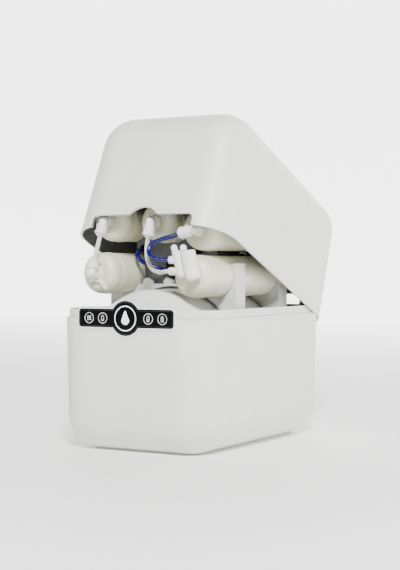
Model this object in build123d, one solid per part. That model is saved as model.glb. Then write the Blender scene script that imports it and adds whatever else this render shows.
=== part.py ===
"""Closed-case reverse osmosis unit: a two-part case, a pressure tank, five inline cartridges and their tubes.

Frame: X to the right, the front faces -Y, Z up, origin at the centre of the flat base.
The lid stands open at rest. Millimetres throughout.
"""
import os
from math import cos, pi, radians, sin, tan

from build123d import *

# Case
CASE_WIDTH = 260.0
CASE_DEPTH = 396.0
SEAM_HEIGHT = 192.0
LID_HEIGHT = 198.0
WALL = 3.0
DRAFT = 1.2
CORNER_RADIUS = 58.0
CASE_FILLET = 52.0
LID_FILLET = 53.0
LIP_INSET = 4.6
LIP_WALL = 2.4
LIP_HEIGHT = 12.0
LIP_DEPTH = 8.0

# Lid hinge, as distances behind the front plane and below the seam
PIVOT_BACK = 340.0
PIVOT_DROP = 26.0
LID_OPEN = 23.2
LID_EXTRA = 16.0
PIN_RADIUS = 4.0
ARM_RADIUS = 12.0
ARM_INNER = 116.5
ARM_THICK = 4.0
BRACKET_THICK = 4.0
RUNNING = 0.05

# Display
DISPLAY_WIDTH = 158.0
DISPLAY_HEIGHT = 26.0
DISPLAY_ROUND = 24.5
DISPLAY_CORNER = 5.0
DISPLAY_BORDER = 3.2
DISPLAY_PROUD = 1.4

DISPLAY_BACK = 4.3
LENS_BACK = 0.6
NOTCH_GAP = 4.6
NOTCH_BORDER = 4.5
REAR_CUT_HALF = 88.0
REAR_CUT_HEIGHT = 55.0
SKIRT_DEPTH = 50.0
BRACKET_OUTER = 112.1

# Tank
TANK_RADIUS = 110.0
TANK_WALL = 2.5
TANK_FLOOR_GAP = 12.0
TANK_FRONT = 24.0
TANK_REAR = 330.0
TANK_DOME = 46.0
TANK_HEIGHT = TANK_FLOOR_GAP + TANK_RADIUS - SEAM_HEIGHT
FLANGE_RADIUS = 38.0
LEVER_REACH = 29.0
BLADDER_RADIUS = 92.0
BLADDER_FRONT = 90.0
BLADDER_REAR = 280.0

# Cartridges: name, X, height above the seam, front face and rear face behind the front plane
CARTRIDGE_RADIUS = 30.0
CARTRIDGE_WALL = 2.5
CAP_ROUND = 13.0
BOSS_RADIUS = 10.0
BOSS_LENGTH = 5.0
WELD_PLACE = 27.0
WELD_PROUD = 0.8
CARTRIDGES = {
    "sediment_cartridge": (-83.0, 63.0, 51.0, 293.0),
    "carbon_cartridge": (-76.0, 140.0, 73.0, 336.0),
    "block_cartridge": (-2.0, 138.0, 84.0, 336.0),
    "polish_cartridge": (74.0, 125.5, 76.0, 336.0),
    "membrane_cartridge": (75.0, 58.5, 50.0, 293.0),
}

# Tubes and push-in fittings
TUBE_RADIUS = 3.175
TUBE_BORE = 2.1
SOCKET_RADIUS = 3.25
COLLET_RADIUS = 4.6
COLLET_FLANGE = 6.4
COLLET_REST = 3.2
COLLET_TRAVEL = 1.5
BARREL_RADIUS = 8.2
BARREL_LENGTH = 20.0
STEM_RADIUS = 6.4
STEM_LENGTH = 11.0
TUBE_SEAT = BARREL_LENGTH - 12.0

# Rack
RIB_THICK = 28.0
WEB_THICK = 6.0
WEB_HALF = 68.0
WEB_TOP = 122.0
RIB_PLACES = {"rack_front_rib": 138.0, "rack_rear_rib": 275.0}
POST_TOP = 77.0
SADDLE_GAP = 0.3
ARCH_GAP = 4.0
BRIDGE_TOP = 47.0
BRIDGE_HALF = 108.0
RIB_HALF = 120.5
LEG_INNER = 115.0
LEDGE_TOP = -92.0
LEDGE_INNER = 113.5
FEED_HOLE = (-55.0, 98.0, 9.0)
TANK_HOLE = (37.0, 96.0, 9.0)
VALVE_HOLE = (0.0, 71.0, 18.0)

# Membrane port bodies
PORT_LEAN = 14.0
PORT_AXIS = Vector(-sin(radians(PORT_LEAN)), 0, cos(radians(PORT_LEAN)))
PORT_HIGH = 22.0
LEFT_PORT = (64.0, 41.5, 73.0)
LEFT_PORT_RADIUS = 7.5
LEFT_PORT_LOW = 15.0
RIGHT_PORT = (83.0, 38.5, 73.0)
RIGHT_PORT_RADIUS = 10.5
RIGHT_PORT_LOW = 18.0
SPINE_RADIUS = 4.6
SOCKET_HEIGHTS = (66.0, 82.0)

# Shut-off valve and flow restrictor
VALVE_FRONT = 188.0
VALVE_REAR = 228.0
VALVE_PITCH = 9.0
VALVE_HEIGHT = BRIDGE_TOP + 9.0
RESTRICTOR_DROP = 30.0

# Rear connections, left to right
PORT_NAMES = ("feed_port", "faucet_port", "drain_port")
PORT_PITCH = 42.0
PORT_DROP = 26.0
PORT_RADIUS = 8.6
PORT_FRONT = CASE_DEPTH - 21.0
PORT_REAR = CASE_DEPTH + 12.0
DC_X = 66.0
DC_DROP = 72.0
DC_RADIUS = 6.0


def at(x, back, height):
    """A point from its X, its distance behind the front plane and its height above the seam."""
    return Vector(x, back - CASE_DEPTH / 2, SEAM_HEIGHT + height)


def keep(shape, name):
    """Write one piece to its own file."""
    export_step(shape, f"parts/{name}.step")


def rod(start, direction, radius, length):
    """A cylinder from a point along a direction."""
    plane = Plane(origin=start, z_dir=direction)
    return plane * Cylinder(radius, length, align=(Align.CENTER, Align.CENTER, Align.MIN))


def slab(x0, x1, back0, back1, low, high):
    """A box between limits given as X, distance behind the front plane and height above the seam."""
    a = at(x0, back0, low)
    size = (x1 - x0, back1 - back0, high - low)
    return Pos(a.X, a.Y, a.Z) * Box(*size, align=(Align.MIN, Align.MIN, Align.MIN))


def tub(inset, height, fillet_radius):
    """A drafted tub with its wide end up, drawn in from the outer surface by inset, from z = 0."""
    shrink = 2 * (inset + height * tan(radians(DRAFT)))
    corner = CORNER_RADIUS - shrink / 2
    base = RectangleRounded(CASE_WIDTH - shrink, CASE_DEPTH - shrink, corner)
    body = extrude(base, height, taper=-DRAFT)
    low = body.edges().group_by(Axis.Z)[0]
    return fillet(low, min(fillet_radius - inset, corner - 0.5))


def outline_band(inset, thick, low, high):
    """An upright ring that follows the case outline, between two heights above the seam."""
    outer = RectangleRounded(
        CASE_WIDTH - 2 * inset, CASE_DEPTH - 2 * inset, CORNER_RADIUS - inset
    )
    hole = inset + thick
    inner = RectangleRounded(CASE_WIDTH - 2 * hole, CASE_DEPTH - 2 * hole, CORNER_RADIUS - hole)
    return Pos(0, 0, SEAM_HEIGHT + low) * extrude(outer - inner, high - low)


def cartouche(grow):
    """The display outline, a bar with a round middle, grown all round."""
    bar = RectangleRounded(
        DISPLAY_WIDTH + 2 * grow, DISPLAY_HEIGHT + 2 * grow, DISPLAY_CORNER + grow
    )
    return bar + Circle(DISPLAY_ROUND + grow)


def front_plate(outline, back0, back1):
    """An upright plate with the given outline, centred on the seam line at the front."""
    start = at(0, back0, 0)
    plane = Plane(origin=start, x_dir=(1, 0, 0), z_dir=(0, 1, 0))
    return extrude(plane * outline, back1 - back0)


def side_prism(points, x0, x1):
    """A prism across X from points given as distance behind the front plane and height above the seam."""
    corners = [(back - CASE_DEPTH / 2, SEAM_HEIGHT + height) for back, height in points]
    plane = Plane(origin=(x0, 0, 0), x_dir=(0, 1, 0), z_dir=(1, 0, 0))
    return extrude(plane * Polygon(*corners, align=None), x1 - x0)


def swing_point(behind, above, angle):
    """Where a lid point, given from the pivot, lies when the lid is open by an angle."""
    a = radians(angle)
    back = PIVOT_BACK + behind * cos(a) + above * sin(a)
    height = -PIVOT_DROP + above * cos(a) - behind * sin(a)
    return back, height


def swing_notch():
    """The space that the lid's rear edge sweeps below the seam, across the whole width."""
    most = LID_OPEN + LID_EXTRA + 1.5
    steps = 6
    edge = PIVOT_DROP - 0.8
    front = [swing_point(0, edge, most * i / steps) for i in range(steps + 1)]
    rear = CASE_DEPTH + 12.0
    tail = swing_point(rear - PIVOT_BACK, edge, most)
    start = PIVOT_BACK - 1.5
    corners = [(start, 0.0)] + front[1:] + [tail, (tail[0], 2.0), (start, 2.0)]
    return side_prism(corners, -CASE_WIDTH, CASE_WIDTH)


def lower_case():
    """The case: drafted tub, inner lip, rear skirt clear of the lid, rack ledges and port holes."""
    shell = tub(0, SEAM_HEIGHT, CASE_FILLET)
    shell -= Pos(0, 0, WALL) * tub(WALL, SEAM_HEIGHT - WALL, CASE_FILLET)
    inside = extrude(
        RectangleRounded(CASE_WIDTH - 2 * LIP_INSET, CASE_DEPTH - 2 * LIP_INSET, CORNER_RADIUS - LIP_INSET),
        SEAM_HEIGHT + LIP_HEIGHT,
    )
    shell -= swing_notch() - inside
    skirt = outline_band(LIP_INSET, LIP_WALL, -SKIRT_DEPTH, LIP_HEIGHT)
    skirt &= slab(-CASE_WIDTH, CASE_WIDTH, PIVOT_BACK - 22, CASE_DEPTH, -SKIRT_DEPTH, LIP_HEIGHT)
    lip = outline_band(LIP_INSET, LIP_WALL, -LIP_DEPTH, LIP_HEIGHT)
    bridge = outline_band(WALL - 0.6, LIP_INSET - WALL + 1.6, -LIP_DEPTH, -1.5)
    foot = outline_band(WALL - 0.6, LIP_INSET - WALL + 1.6, -SKIRT_DEPTH, 4.0 - SKIRT_DEPTH)
    foot &= slab(-CASE_WIDTH, CASE_WIDTH, PIVOT_BACK - 22, CASE_DEPTH, -SKIRT_DEPTH, LIP_HEIGHT)
    body = shell + (bridge - swing_notch()) + lip + skirt + foot
    for side in (-1, 1):
        for back in RIB_PLACES.values():
            ledge = slab(LEDGE_INNER, CASE_WIDTH / 2 - 4, back - 16, back + 16, LEDGE_TOP - 8, LEDGE_TOP)
            body += ledge if side > 0 else mirror(ledge, Plane.YZ)
        low = -PIVOT_DROP - 26
        web = slab(BRACKET_OUTER, CASE_WIDTH / 2 - 4, PIVOT_BACK - 11, PIVOT_BACK + 11, low, low + 10)
        body += web if side > 0 else mirror(web, Plane.YZ)
    body -= front_plate(cartouche(DISPLAY_BORDER + 0.02), -5, DISPLAY_BACK + 0.02)
    for x in port_places():
        body -= rod(at(x, CASE_DEPTH - 14, -PORT_DROP), (0, 1, 0), PORT_RADIUS + 0.1, 30)
    body -= rod(at(DC_X, CASE_DEPTH - 14, -DC_DROP), (0, 1, 0), DC_RADIUS + 0.1, 30)
    return body


def lid_pose(shape):
    """Turn the closed lid about its pins to the open rest pose."""
    pivot = at(0, PIVOT_BACK, -PIVOT_DROP)
    return Pos(*pivot) * Rot(-LID_OPEN, 0, 0) * Pos(*(-pivot)) * shape


def lid():
    """The lid: a drafted tub turned over, with a framed front notch and a rear cut-out."""
    shell = tub(0, LID_HEIGHT, LID_FILLET)
    shell -= Pos(0, 0, WALL) * tub(WALL, LID_HEIGHT - WALL, LID_FILLET)
    shell = Pos(0, 0, SEAM_HEIGHT + LID_HEIGHT) * Rot(180, 0, 0) * shell
    border = front_plate(cartouche(NOTCH_GAP + NOTCH_BORDER), -1.0, 2.5)
    border &= slab(-CASE_WIDTH, CASE_WIDTH, -5, 5, 0, 60)
    shell += border
    shell -= front_plate(cartouche(NOTCH_GAP), -5, 12)
    window = RectangleRounded(2 * REAR_CUT_HALF, 2 * REAR_CUT_HEIGHT, 16)
    shell -= front_plate(window, CASE_DEPTH - 30, CASE_DEPTH + 5)
    for side in (-1, 1):
        low = LIP_HEIGHT + 10
        rail = slab(ARM_INNER, CASE_WIDTH / 2 - 3.6, PIVOT_BACK - 34, PIVOT_BACK - 6, low, low + 30)
        shell += rail if side > 0 else mirror(rail, Plane.YZ)
    return lid_pose(shell)


def lid_arms():
    """The two flat arms that carry the lid on its pins."""
    both = []
    for side in (-1, 1):
        x0 = ARM_INNER - ARM_THICK
        eye = rod(at(x0, PIVOT_BACK, -PIVOT_DROP), (1, 0, 0), ARM_RADIUS, ARM_THICK)
        blade = slab(x0, ARM_INNER, PIVOT_BACK - 32, PIVOT_BACK - 8, -PIVOT_DROP - 6, LIP_HEIGHT + 32)
        neck = slab(x0, ARM_INNER, PIVOT_BACK - 12, PIVOT_BACK, -PIVOT_DROP - 6, -PIVOT_DROP + 10)
        arm = eye + blade + neck
        arm -= rod(at(x0 - 1, PIVOT_BACK, -PIVOT_DROP), (1, 0, 0), PIN_RADIUS + RUNNING, ARM_THICK + 2)
        both.append(arm if side > 0 else mirror(arm, Plane.YZ))
    return lid_pose(Compound(children=both))


def hinge_brackets():
    """The pair of ears inside the case that hold the pins."""
    both = []
    for side in (-1, 1):
        x1 = ARM_INNER - ARM_THICK - 0.4
        x0 = x1 - BRACKET_THICK
        ear = slab(x0, x1, PIVOT_BACK - 11, PIVOT_BACK + 11, -PIVOT_DROP - 26, -PIVOT_DROP)
        ear += rod(at(x0, PIVOT_BACK, -PIVOT_DROP), (1, 0, 0), 11, BRACKET_THICK)
        ear -= rod(at(x0 - 1, PIVOT_BACK, -PIVOT_DROP), (1, 0, 0), PIN_RADIUS, BRACKET_THICK + 2)
        both.append(ear if side > 0 else mirror(ear, Plane.YZ))
    return Compound(children=both)


def pivot_pins():
    """Headed pins, fixed in the ears, that pass through the arms."""
    both = []
    for side in (-1, 1):
        x1 = ARM_INNER - ARM_THICK - 0.4
        x0 = x1 - BRACKET_THICK
        pin = rod(at(x0 - 3, PIVOT_BACK, -PIVOT_DROP), (1, 0, 0), PIN_RADIUS, BRACKET_THICK + ARM_THICK + 5.4)
        pin += rod(at(x0 - 3, PIVOT_BACK, -PIVOT_DROP), (1, 0, 0), 7, 3)
        pin += rod(at(ARM_INNER + 0.4, PIVOT_BACK, -PIVOT_DROP), (1, 0, 0), 7, 2)
        both.append(pin if side > 0 else mirror(pin, Plane.YZ))
    return Compound(children=both)


def display_frame():
    """The upstanding tab that carries the display, with a pocket for the lens."""
    tab = front_plate(cartouche(DISPLAY_BORDER), -DISPLAY_PROUD, DISPLAY_BACK)
    tab = chamfer(tab.faces().sort_by(Axis.Y)[0].outer_wire().edges(), 0.8)
    return tab - front_plate(cartouche(0.15), -DISPLAY_PROUD - 1, LENS_BACK)


def display_lens():
    """The black window over the indicator lights."""
    lens = front_plate(cartouche(0), -DISPLAY_PROUD - 0.5, LENS_BACK)
    return chamfer(lens.faces().sort_by(Axis.Y)[0].outer_wire().edges(), 0.35)


def display_board():
    """The circuit board behind the display, with its chip and plug."""
    board = slab(-62, 62, LIP_INSET + LIP_WALL, LIP_INSET + LIP_WALL + 1.6, -16, 11)
    back = LIP_INSET + LIP_WALL + 1.6
    chip = slab(-12, 0, back, back + 1.8, -8, 4)
    plug = slab(30, 44, back, back + 6, -10, -2)
    return board + chip + plug


def tank_body(inset):
    """The tank's outer form, drawn in by inset: a barrel between two elliptical domes."""
    front = TANK_FRONT + TANK_DOME - CASE_DEPTH / 2
    rear = TANK_REAR - TANK_DOME - CASE_DEPTH / 2
    radius = TANK_RADIUS - inset
    depth = TANK_DOME - inset
    profile = Curve() + [
        EllipticalCenterArc((0, front), radius, depth, start_angle=270, arc_size=90),
        Line((radius, front), (radius, rear)),
        EllipticalCenterArc((0, rear), radius, depth, start_angle=0, arc_size=90),
        Line((0, rear + depth), (0, front - depth)),
    ]
    return Pos(0, 0, SEAM_HEIGHT + TANK_HEIGHT) * revolve(make_face(profile), Axis.Y)


def tank_shell():
    """The tank's steel shell, with its rear mouth and its hole for the air valve."""
    shell = tank_body(0) - tank_body(TANK_WALL)
    neck = rod(at(0, TANK_REAR - 12, TANK_HEIGHT), (0, 1, 0), FLANGE_RADIUS, 14)
    shell += neck - tank_body(TANK_WALL)
    shell -= rod(at(0, TANK_FRONT - 2, TANK_HEIGHT), (0, 1, 0), 4, 10)
    return shell - rod(at(0, TANK_REAR - 30, TANK_HEIGHT), (0, 1, 0), FLANGE_RADIUS - 10, 60)


def tank_bladder():
    """The rubber bladder, held in the mouth of the tank and full of water at rest."""
    neck = TANK_REAR + 2 - BLADDER_REAR
    length = BLADDER_REAR - BLADDER_FRONT
    mouth = rod(at(0, BLADDER_REAR, TANK_HEIGHT), (0, 1, 0), FLANGE_RADIUS - 10.2, neck)
    bag = rod(at(0, BLADDER_FRONT, TANK_HEIGHT), (0, 1, 0), BLADDER_RADIUS, length)
    bag = fillet(bag.edges(), 30)
    core = rod(at(0, BLADDER_FRONT + 2, TANK_HEIGHT), (0, 1, 0), BLADDER_RADIUS - 2, length - 4)
    core = fillet(core.edges(), 28)
    throat = rod(at(0, BLADDER_REAR - 10, TANK_HEIGHT), (0, 1, 0), FLANGE_RADIUS - 12.2, 60)
    return (bag + mouth) - core - throat


def tank_flange():
    """The screwed flange that closes the tank's mouth and carries the tank valve."""
    plate = rod(at(0, TANK_REAR + 2, TANK_HEIGHT), (0, 1, 0), FLANGE_RADIUS, 5)
    nipple = rod(at(0, TANK_REAR + 7, TANK_HEIGHT), (0, 1, 0), 8, 10)
    body = plate + nipple
    for i in range(6):
        a = radians(60 * i + 30)
        spot = at(31 * cos(a), TANK_REAR + 7, TANK_HEIGHT + 31 * sin(a))
        body += rod(spot, (0, 1, 0), 3.4, 3)
    return body - rod(at(0, TANK_REAR, TANK_HEIGHT), (0, 1, 0), 3, 20)


def air_valve():
    """The capped air valve at the front pole of the tank."""
    stem = rod(at(0, TANK_FRONT + 1.5, TANK_HEIGHT), (0, -1, 0), 4, 9)
    cap = rod(at(0, TANK_FRONT - 3, TANK_HEIGHT), (0, -1, 0), 6.5, 9)
    return stem + fillet(cap.edges().sort_by(Axis.Y)[0], 1.5)


def tank_valve():
    """The quarter-turn ball valve on the tank flange, with its tube socket towards +X."""
    centre = at(0, TANK_REAR + 27, TANK_HEIGHT)
    body = rod(centre - Vector(0, 10, 0), (0, 1, 0), 11, 20)
    body += rod(centre, (1, 0, 0), BARREL_RADIUS, 30)
    body += rod(centre, (-1, 0, 0), 6, 17)
    body -= rod(centre + Vector(18, 0, 0), (1, 0, 0), SOCKET_RADIUS, 20)
    body -= rod(centre, (1, 0, 0), TUBE_BORE, 20)
    body -= rod(centre - Vector(0, 11, 0), (0, 1, 0), 3, 11)
    return body - rod(centre - Vector(10, 0, 0), (-1, 0, 0), 3 + RUNNING, 10)


def tank_valve_lever():
    """The valve's lever on its stem, upright when the valve is open."""
    centre = at(0, TANK_REAR + 27, TANK_HEIGHT)
    stem = rod(centre - Vector(10.5, 0, 0), (-1, 0, 0), 3, 11)
    hub = rod(centre - Vector(17.4, 0, 0), (-1, 0, 0), 7, 5)
    back = TANK_REAR + 27
    blade = slab(-22.4, -17.4, back - 5, back + 5, TANK_HEIGHT, TANK_HEIGHT + LEVER_REACH)
    return stem + hub + fillet(blade.edges().filter_by(Axis.X), 3)


def tank_saddles():
    """Two rubber-faced cross saddles under the tank."""
    both = []
    for back in (110.0, 250.0):
        block = slab(-62, 62, back - 8, back + 8, WALL - SEAM_HEIGHT, -SEAM_HEIGHT + 34)
        both.append(block - rod(at(0, back - 9, TANK_HEIGHT), (0, 1, 0), TANK_RADIUS + 0.1, 18))
    return Compound(children=both)


def rack_rib(back):
    """One rib of the rack: a thick bridge over the tank with cradles, two posts and a thin upper web."""
    half = RIB_THICK / 2
    bridge = slab(-BRIDGE_HALF, BRIDGE_HALF, back - half, back + half, -18, BRIDGE_TOP)
    for side in (-1, 1):
        shoulder = slab(92, RIB_HALF, back - half, back + half, -18, 6)
        leg = slab(LEG_INNER, RIB_HALF, back - half, back + half, LEDGE_TOP, 6)
        post = slab(92, BRIDGE_HALF, back - half, back + half, 0, POST_TOP)
        for piece in (shoulder, leg, post):
            bridge += piece if side > 0 else mirror(piece, Plane.YZ)
    web = slab(-WEB_HALF, WEB_HALF, back - WEB_THICK / 2, back + WEB_THICK / 2, BRIDGE_TOP - 4, WEB_TOP)
    body = bridge + web
    for x in (-43, -7):
        lug = slab(x - 7, x + 7, back - half, back - half + 9, BRIDGE_TOP - 2, BRIDGE_TOP + 9)
        body += chamfer(lug.edges().group_by(Axis.Z)[-1].filter_by(Axis.Y), 4)
    start = back - half - 1
    body -= rod(at(0, start, TANK_HEIGHT), (0, 1, 0), TANK_RADIUS + ARCH_GAP, RIB_THICK + 2)
    for x, height, _, _ in CARTRIDGES.values():
        body -= rod(at(x, start, height), (0, 1, 0), CARTRIDGE_RADIUS + SADDLE_GAP, RIB_THICK + 2)
    for x, height, size in (FEED_HOLE, TANK_HOLE, VALVE_HOLE):
        body -= rod(at(x, start, height), (0, 1, 0), size, RIB_THICK + 2)
    pieces = sorted(body.solids(), key=lambda piece: piece.volume)
    return pieces[-1]


def rack_tray():
    """The tray between the two ribs that carries the shut-off valve."""
    front = RIB_PLACES["rack_front_rib"] + RIB_THICK / 2
    rear = RIB_PLACES["rack_rear_rib"] - RIB_THICK / 2
    plate = slab(-24, 24, front, rear, BRIDGE_TOP - 3, BRIDGE_TOP)
    rims = slab(-24, -21, front, rear, BRIDGE_TOP, BRIDGE_TOP + 6)
    rims += slab(21, 24, front, rear, BRIDGE_TOP, BRIDGE_TOP + 6)
    return plate + rims


def cartridge(name):
    """A welded inline cartridge: hollow shell, rounded caps, and a ringed boss on each plain end."""
    x, height, front, rear = CARTRIDGES[name]
    length = rear - front
    shell = Cylinder(CARTRIDGE_RADIUS, length)
    shell = fillet(shell.edges().filter_by(GeomType.CIRCLE), CAP_ROUND)
    hollow = Cylinder(CARTRIDGE_RADIUS - CARTRIDGE_WALL, length - 2 * CARTRIDGE_WALL)
    shell -= fillet(hollow.edges().filter_by(GeomType.CIRCLE), CAP_ROUND - CARTRIDGE_WALL)
    bead = Cylinder(CARTRIDGE_RADIUS + WELD_PROUD, 1.2) + Cylinder(CARTRIDGE_RADIUS + WELD_PROUD / 2, 2.4)
    shell += Pos(0, 0, -length / 2 + WELD_PLACE) * (bead - Cylinder(CARTRIDGE_RADIUS - 1, 3))
    for end in (-1, 1):
        for place, wide in ((WELD_PLACE + 2.2, 1.6), (WELD_PLACE + 8.0, 1.0)):
            ring = Cylinder(CARTRIDGE_RADIUS + 1, wide) - Cylinder(CARTRIDGE_RADIUS - 0.7, wide)
            shell -= Pos(0, 0, end * (length / 2 - place)) * ring
        if end < 0 and name == "membrane_cartridge":
            continue
        for radius in (13.0, 16.5):
            ring = Cylinder(radius, 1.4) - Cylinder(radius - 1.2, 1.4)
            shell += Pos(0, 0, end * (length / 2 + 0.5)) * ring
        boss = Cylinder(BOSS_RADIUS, BOSS_LENGTH + 1)
        shell += Pos(0, 0, end * (length / 2 + BOSS_LENGTH / 2 - 0.5)) * boss
        shell -= Pos(0, 0, end * length / 2) * Cylinder(TUBE_BORE, 2 * BOSS_LENGTH + 4)
    middle = at(x, (front + rear) / 2, height)
    return Plane(origin=middle, z_dir=(0, 1, 0)) * shell


def cartridge_core(name):
    """The filter medium inside a cartridge."""
    x, height, front, rear = CARTRIDGES[name]
    core = rod(at(x, front + 14, height), (0, 1, 0), CARTRIDGE_RADIUS - 6, rear - front - 28)
    collar = rod(at(x, front + CARTRIDGE_WALL, height), (0, 1, 0), 8, rear - front - 2 * CARTRIDGE_WALL)
    hole = rod(at(x, front, height), (0, 1, 0), TUBE_BORE, rear - front)
    return core + collar - hole


def elbow(corner, stem, stem_length, outlet):
    """A push-in elbow: a stem into its boss, a ball at the corner and a ribbed barrel with a tube socket."""
    body = rod(corner, stem, STEM_RADIUS, stem_length)
    body += Pos(*corner) * Sphere(STEM_RADIUS + 0.6)
    body += rod(corner, outlet, STEM_RADIUS + 0.4, BARREL_LENGTH - 12)
    way = Vector(outlet).normalized()
    body += rod(corner + way * (BARREL_LENGTH - 13), outlet, BARREL_RADIUS, 13)
    body += rod(corner + way * (BARREL_LENGTH - 13), outlet, BARREL_RADIUS + 0.8, 2)
    body += rod(corner + way * (BARREL_LENGTH - 3), outlet, BARREL_RADIUS + 0.8, 3)
    body += rod(corner + Vector(stem).normalized() * (stem_length - 4), stem, STEM_RADIUS + 2, 4)
    body -= rod(corner + way * (BARREL_LENGTH - 8), outlet, COLLET_RADIUS + RUNNING, 10)
    body -= rod(corner + way * (BARREL_LENGTH - 13), outlet, SOCKET_RADIUS, 14)
    body -= rod(corner, outlet, TUBE_BORE, BARREL_LENGTH)
    return body - rod(corner, stem, TUBE_BORE, stem_length + 1)


def rear_elbows():
    """The five elbows on the rear bosses, which are all alike."""
    return Compound(children=[
        elbow(at(*corner), (0, -1, 0), STEM_LENGTH, outlet) for corner, outlet in REAR_OUTLETS.values()
    ])


def collet(mouth, outlet):
    """A release collet: a sleeve in the socket and a flange that stands off its mouth."""
    way = Vector(outlet).normalized()
    sleeve = rod(mouth - way * 6.0, outlet, COLLET_RADIUS, 6.0 + COLLET_REST)
    flange = rod(mouth + way * (COLLET_REST - 1.4), outlet, COLLET_FLANGE, 1.4)
    return sleeve + flange - rod(mouth - way * 7.0, outlet, SOCKET_RADIUS, 14.0)


def membrane_port(corner, radius, low):
    """A port body in front of the membrane: a leaning canister with a windowed spine that ends in a dome."""
    foot = corner - PORT_AXIS * low
    height = low + PORT_HIGH
    body = rod(foot, PORT_AXIS, radius, height)
    body = fillet(body.edges().filter_by(GeomType.CIRCLE), 1.6)
    body += rod(foot - PORT_AXIS * 1.5, PORT_AXIS, radius - 2.5, 3)
    top = corner + PORT_AXIS * (PORT_HIGH + 5)
    spine = top + Vector(SPINE_RADIUS + 0.4 - radius, 0, 0) * 0.8 - Vector(0, 2.5, 0)
    body += rod(spine, -PORT_AXIS, SPINE_RADIUS, 26)
    body += Pos(*spine) * Sphere(SPINE_RADIUS)
    for i in range(3):
        window = Plane(origin=spine - PORT_AXIS * (6 + 5.6 * i) - Vector(0, SPINE_RADIUS, 0), z_dir=PORT_AXIS)
        body -= window * Box(4.4, 3.6, 4.2)
    return body


def membrane_port_left():
    """The inlet and permeate port: two sockets towards the left and a stem into the membrane cap."""
    x, back, _ = LEFT_PORT
    body = membrane_port(at(*LEFT_PORT), LEFT_PORT_RADIUS, LEFT_PORT_LOW)
    for height in SOCKET_HEIGHTS:
        spot = at(x, back, height)
        body += rod(spot, (-1, 0, 0), 5.6, 17)
        body -= rod(spot - Vector(8, 0, 0), (-1, 0, 0), SOCKET_RADIUS, 10)
    face = CARTRIDGES["membrane_cartridge"][2]
    return body + rod(at(x + 2, back, 62), (0, 1, 0), 4.5, face - back)


def membrane_port_right():
    """The second port body, closed with a plug, on its own stem."""
    x, back, _ = RIGHT_PORT
    face = CARTRIDGES["membrane_cartridge"][2]
    stem = rod(at(x + 1.5, back, 62), (0, 1, 0), 4.5, face - back)
    return membrane_port(at(*RIGHT_PORT), RIGHT_PORT_RADIUS, RIGHT_PORT_LOW) + stem


def sediment_clip():
    """The clip on the sediment cap's boss: a split collar with two short legs."""
    x, height, front, _ = CARTRIDGES["sediment_cartridge"]
    back = front - BOSS_LENGTH + 0.6
    start = at(x, back, height)
    body = rod(start, (0, 1, 0), BOSS_RADIUS + 3.4, 3.2)
    for angle, reach in ((-52, 29), (-128, 19)):
        blade = slab(x + BOSS_RADIUS, x + reach, back, back + 3.2, height - 2.8, height + 2.8)
        blade = fillet(blade.edges().filter_by(Axis.Y), 1.8)
        body += blade.rotate(Axis(start, (0, -1, 0)), angle)
    body -= rod(start, (0, 1, 0), BOSS_RADIUS + 0.2, 4)
    return body - slab(x - 4, x + 4, back - 1, back + 5, height, height + 16)


def port_places():
    """The X of each rear tube port, left to right."""
    return [PORT_PITCH * (i - 1) for i in range(len(PORT_NAMES))]


def rear_port(x):
    """A bulkhead port through the rear wall: flange, thread, nut and a socket at each end."""
    start = at(x, PORT_FRONT, -PORT_DROP)
    body = rod(start, (0, 1, 0), PORT_RADIUS, PORT_REAR - PORT_FRONT)
    body += rod(at(x, CASE_DEPTH - 0.4, -PORT_DROP), (0, 1, 0), PORT_RADIUS + 3, 3)
    nut = Plane(origin=at(x, CASE_DEPTH - 12, -PORT_DROP), z_dir=(0, 1, 0)) * RegularPolygon(12, 6)
    body += extrude(nut, 4)
    body -= rod(start, (0, 1, 0), SOCKET_RADIUS, 12)
    body -= rod(start, (0, 1, 0), TUBE_BORE, 40)
    body -= rod(at(x, PORT_REAR - 8, -PORT_DROP), (0, 1, 0), COLLET_RADIUS + RUNNING, 9)
    return body - rod(at(x, PORT_REAR - 17, -PORT_DROP), (0, 1, 0), SOCKET_RADIUS, 10)


def dc_inlet():
    """The low-voltage inlet in the rear wall."""
    body = rod(at(DC_X, CASE_DEPTH - 14, -DC_DROP), (0, 1, 0), DC_RADIUS, 14)
    body += rod(at(DC_X, CASE_DEPTH - 1.2, -DC_DROP), (0, 1, 0), DC_RADIUS + 3, 2.4)
    body -= rod(at(DC_X, CASE_DEPTH - 10, -DC_DROP), (0, 1, 0), 2.9, 20)
    return body + rod(at(DC_X, CASE_DEPTH - 11, -DC_DROP), (0, 1, 0), 1.0, 9)


def shutoff_valve():
    """The diaphragm shut-off valve on the tray, with two sockets in front and one behind."""
    block = slab(-18, 18, VALVE_FRONT, VALVE_REAR, BRIDGE_TOP, VALVE_HEIGHT)
    body = fillet(block.edges().filter_by(Axis.Z), 4)
    centre = at(0, (VALVE_FRONT + VALVE_REAR) / 2, VALVE_HEIGHT)
    body += rod(centre, (0, 0, 1), 17, 12)
    body += rod(centre + Vector(0, 0, 12), (0, 0, 1), 9, 3)
    for x in (-VALVE_PITCH, VALVE_PITCH):
        body += rod(at(x, VALVE_FRONT - 8, VALVE_HEIGHT), (0, 1, 0), 6.5, 20)
        body -= rod(at(x, VALVE_FRONT - 8, VALVE_HEIGHT), (0, 1, 0), SOCKET_RADIUS, 11)
    body += rod(at(0, VALVE_REAR + 8, VALVE_HEIGHT), (0, -1, 0), 6.5, 20)
    return body - rod(at(0, VALVE_REAR + 8, VALVE_HEIGHT), (0, -1, 0), SOCKET_RADIUS, 11)


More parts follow.
